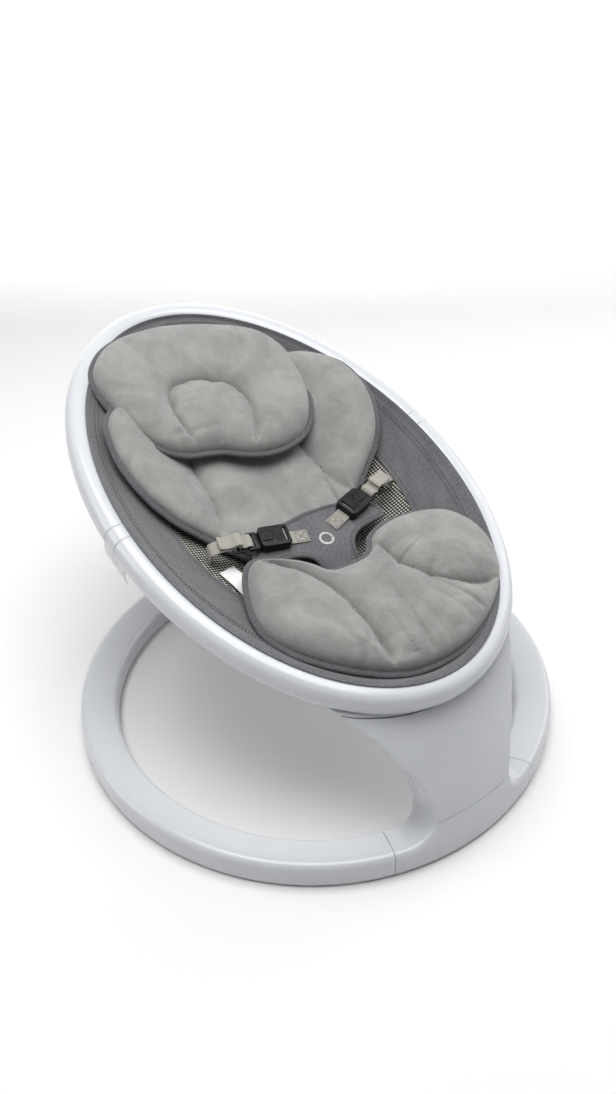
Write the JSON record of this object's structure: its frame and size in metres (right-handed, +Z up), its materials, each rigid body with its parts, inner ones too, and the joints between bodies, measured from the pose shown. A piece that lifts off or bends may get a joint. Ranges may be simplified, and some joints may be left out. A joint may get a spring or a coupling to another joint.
{
  "type": "baby swing",
  "caption": "Infant swing with a round floor base, a fan-shaped neck housing the swing drive, a tilted oval seat ring with sling, cushions, head pillow and buckled waist harness.",
  "frame": {"origin": "middle of the footprint, on the floor the swing stands on", "axes": "+Z up, +Y from the foot end toward the head end, +X to the right when looking toward the head end"},
  "size_m": [0.62, 0.691, 0.4207],
  "materials": {
    "white_shell": "smooth glossy white moulding",
    "inner_plastic": "plain moulded, fine grain",
    "rubber_feet": "matt, fine grain",
    "bright_steel": "ground",
    "dark_screws": "blackened",
    "black_plastic": "satin moulded",
    "copper_coil": "enamelled wire",
    "circuit_board": "solder mask",
    "heather_fabric": "fine two-tone heather weave",
    "air_mesh": "open knitted mesh",
    "velour": "short brushed pile",
    "webbing": "flat woven band",
    "label_cloth": "satin tape"
  },
  "bodies": {
    "base": {"base_ring_left": "white_shell", "base_ring_right": "white_shell", "base_front": "white_shell", "neck_front_shell": "white_shell", "neck_rear_shell": "white_shell", "base_sleeve_back": "inner_plastic", "base_sleeve_left": "inner_plastic", "base_sleeve_right": "inner_plastic", "base_cover": "inner_plastic", "bearing_housing": "inner_plastic", "foot_pad_front_left": "rubber_feet", "foot_pad_front_right": "rubber_feet", "foot_pad_back_left": "rubber_feet", "foot_pad_back_right": "rubber_feet", "bearing_upper": "bright_steel", "bearing_lower": "bright_steel", "neck_screw_1": "dark_screws", "neck_screw_2": "dark_screws", "neck_screw_3": "dark_screws", "neck_screw_4": "dark_screws", "power_inlet": "black_plastic", "drive_coil": "copper_coil", "control_board": "circuit_board", "speaker": "black_plastic"},
    "seat": {"seat_hub": "white_shell", "seat_ring_foot": "white_shell", "seat_ring_head": "white_shell", "ring_collar_left": "white_shell", "ring_collar_right": "white_shell", "swing_shaft": "bright_steel", "drive_magnet": "bright_steel", "magnet_arm": "black_plastic", "buckle_body_left": "black_plastic", "buckle_body_right": "black_plastic", "seat_cover": "heather_fabric", "crotch_pad": "heather_fabric", "pillow_loop": "heather_fabric", "mesh_panel": "air_mesh", "back_cushion": "velour", "seat_cushion": "velour", "head_pillow": "velour", "crotch_tab_left": "webbing", "crotch_tab_right": "webbing", "strap_anchor_left": "webbing", "strap_anchor_right": "webbing", "care_label": "label_cloth"},
    "button_left": {"buckle_button_left": "black_plastic"},
    "button_right": {"buckle_button_right": "black_plastic"},
    "tongue_left": {"buckle_tongue_left": "black_plastic", "strap_adjuster_left": "black_plastic", "waist_strap_left": "webbing"},
    "tongue_right": {"buckle_tongue_right": "black_plastic", "strap_adjuster_right": "black_plastic", "waist_strap_right": "webbing"}
  },
  "joints": [
    {"name": "seat_swing", "type": "hinge", "parent": "base", "child": "seat", "pos_m": [0, -0.2575, 0.178], "axis": [0, 0.342, 0.9397], "range_deg": [-12, 12]},
    {"name": "button_left_press", "type": "slide", "parent": "seat", "child": "button_left", "axis": [0, 0.3123, -0.95], "range_m": [0, 0.002], "stiffness_N_per_m": 400},
    {"name": "tongue_left_pull", "type": "slide", "parent": "seat", "child": "tongue_left", "axis": [-0.9613, 0.2619, 0.0861], "range_m": [0, 0.014]},
    {"name": "button_right_press", "type": "slide", "parent": "seat", "child": "button_right", "axis": [0, 0.3123, -0.95], "range_m": [0, 0.002], "stiffness_N_per_m": 400},
    {"name": "tongue_right_pull", "type": "slide", "parent": "seat", "child": "tongue_right", "axis": [0.9613, 0.2619, 0.0861], "range_m": [0, 0.014]}
  ]
}
